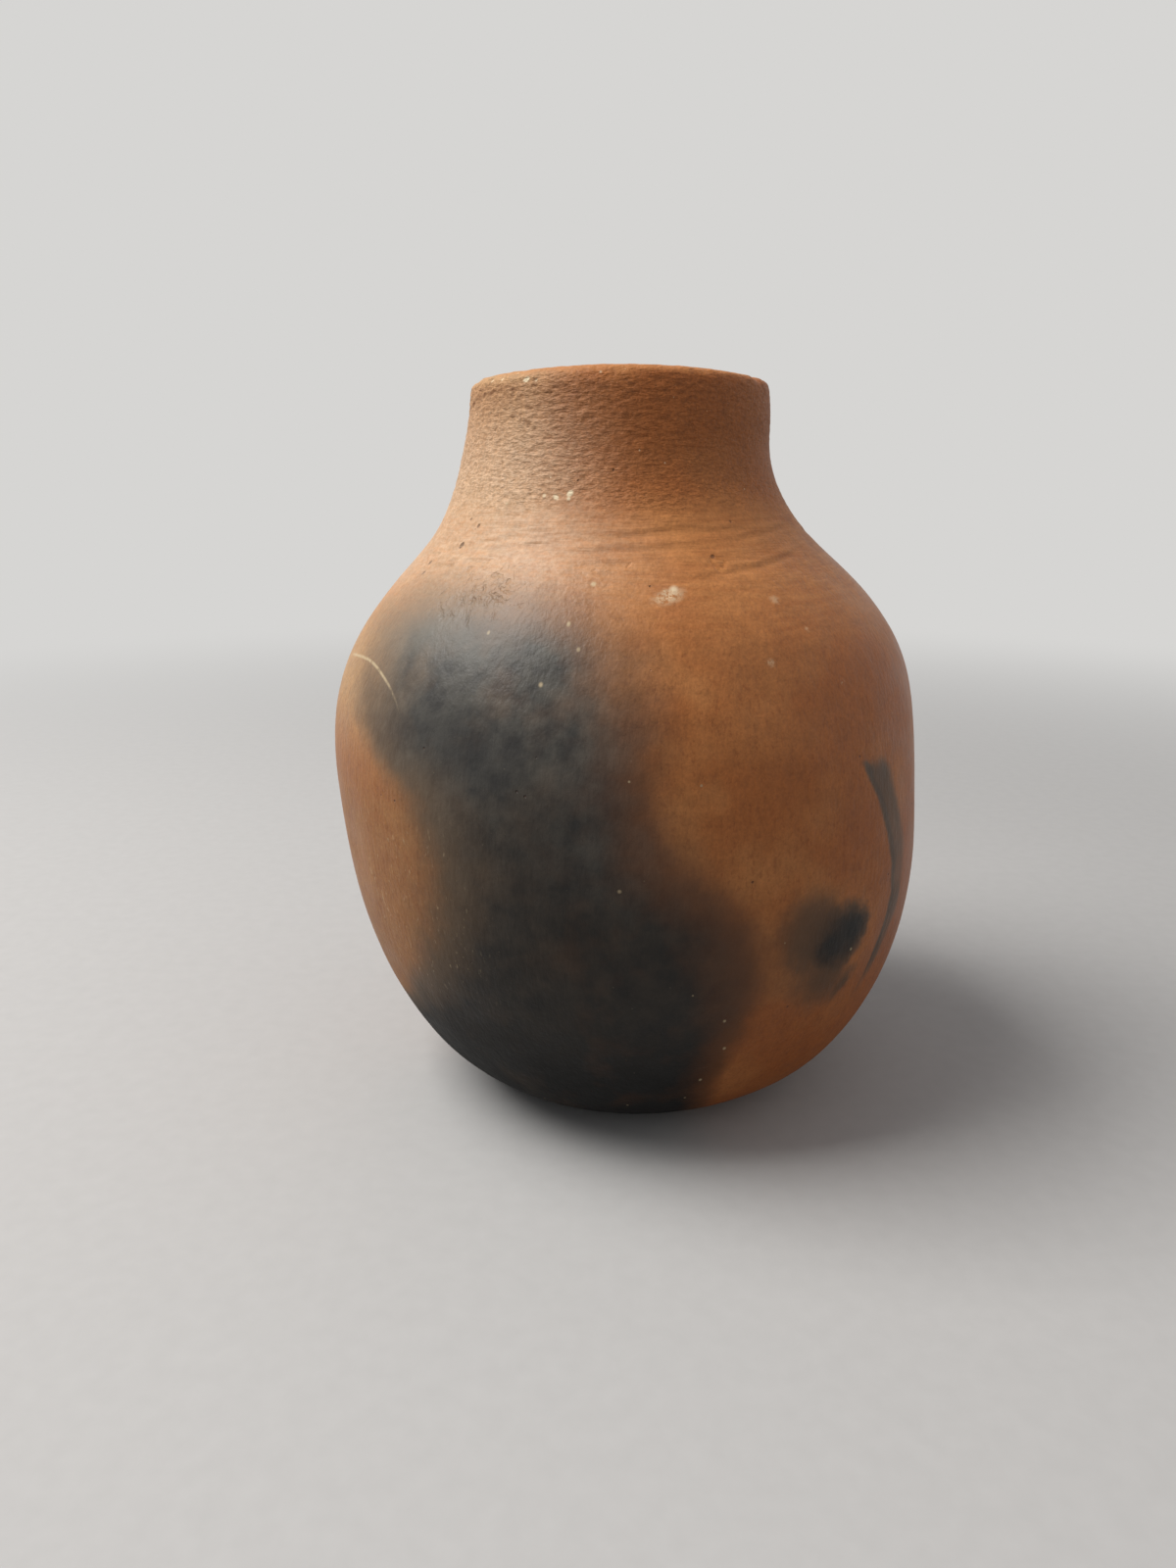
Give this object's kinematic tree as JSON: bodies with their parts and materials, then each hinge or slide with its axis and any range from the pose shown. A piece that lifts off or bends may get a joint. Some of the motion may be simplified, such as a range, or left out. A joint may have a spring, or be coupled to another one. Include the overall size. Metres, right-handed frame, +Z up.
{
  "type": "clay olla",
  "caption": "Hand-built clay pot with a rounded body, small flat foot, sloping shoulder and short open neck, for holding dry goods or water.",
  "frame": {"origin": "on the surface that the foot rests on, under the middle of the pot's box", "axes": "+Z up through the mouth, +X to the right and -Y towards a viewer who sees the fire cloud on the front"},
  "size_m": [0.1256, 0.1228, 0.1505],
  "materials": {
    "smoked_clay": "low-fired clay, stone-burnished to a low shine and blackened by smoke in places",
    "burnished_clay": "low-fired clay, stone-burnished to a low shine, with a soft dark fire cloud",
    "wiped_clay": "low-fired clay, wiped with wet fingers and left matte and slightly rough"
  },
  "bodies": {
    "root": {"base_bowl": "smoked_clay", "lower_wall": "burnished_clay", "belly_wall": "burnished_clay", "shoulder_wall": "burnished_clay", "neck_collar": "wiped_clay", "lip_coil": "wiped_clay"}
  },
  "joints": []
}
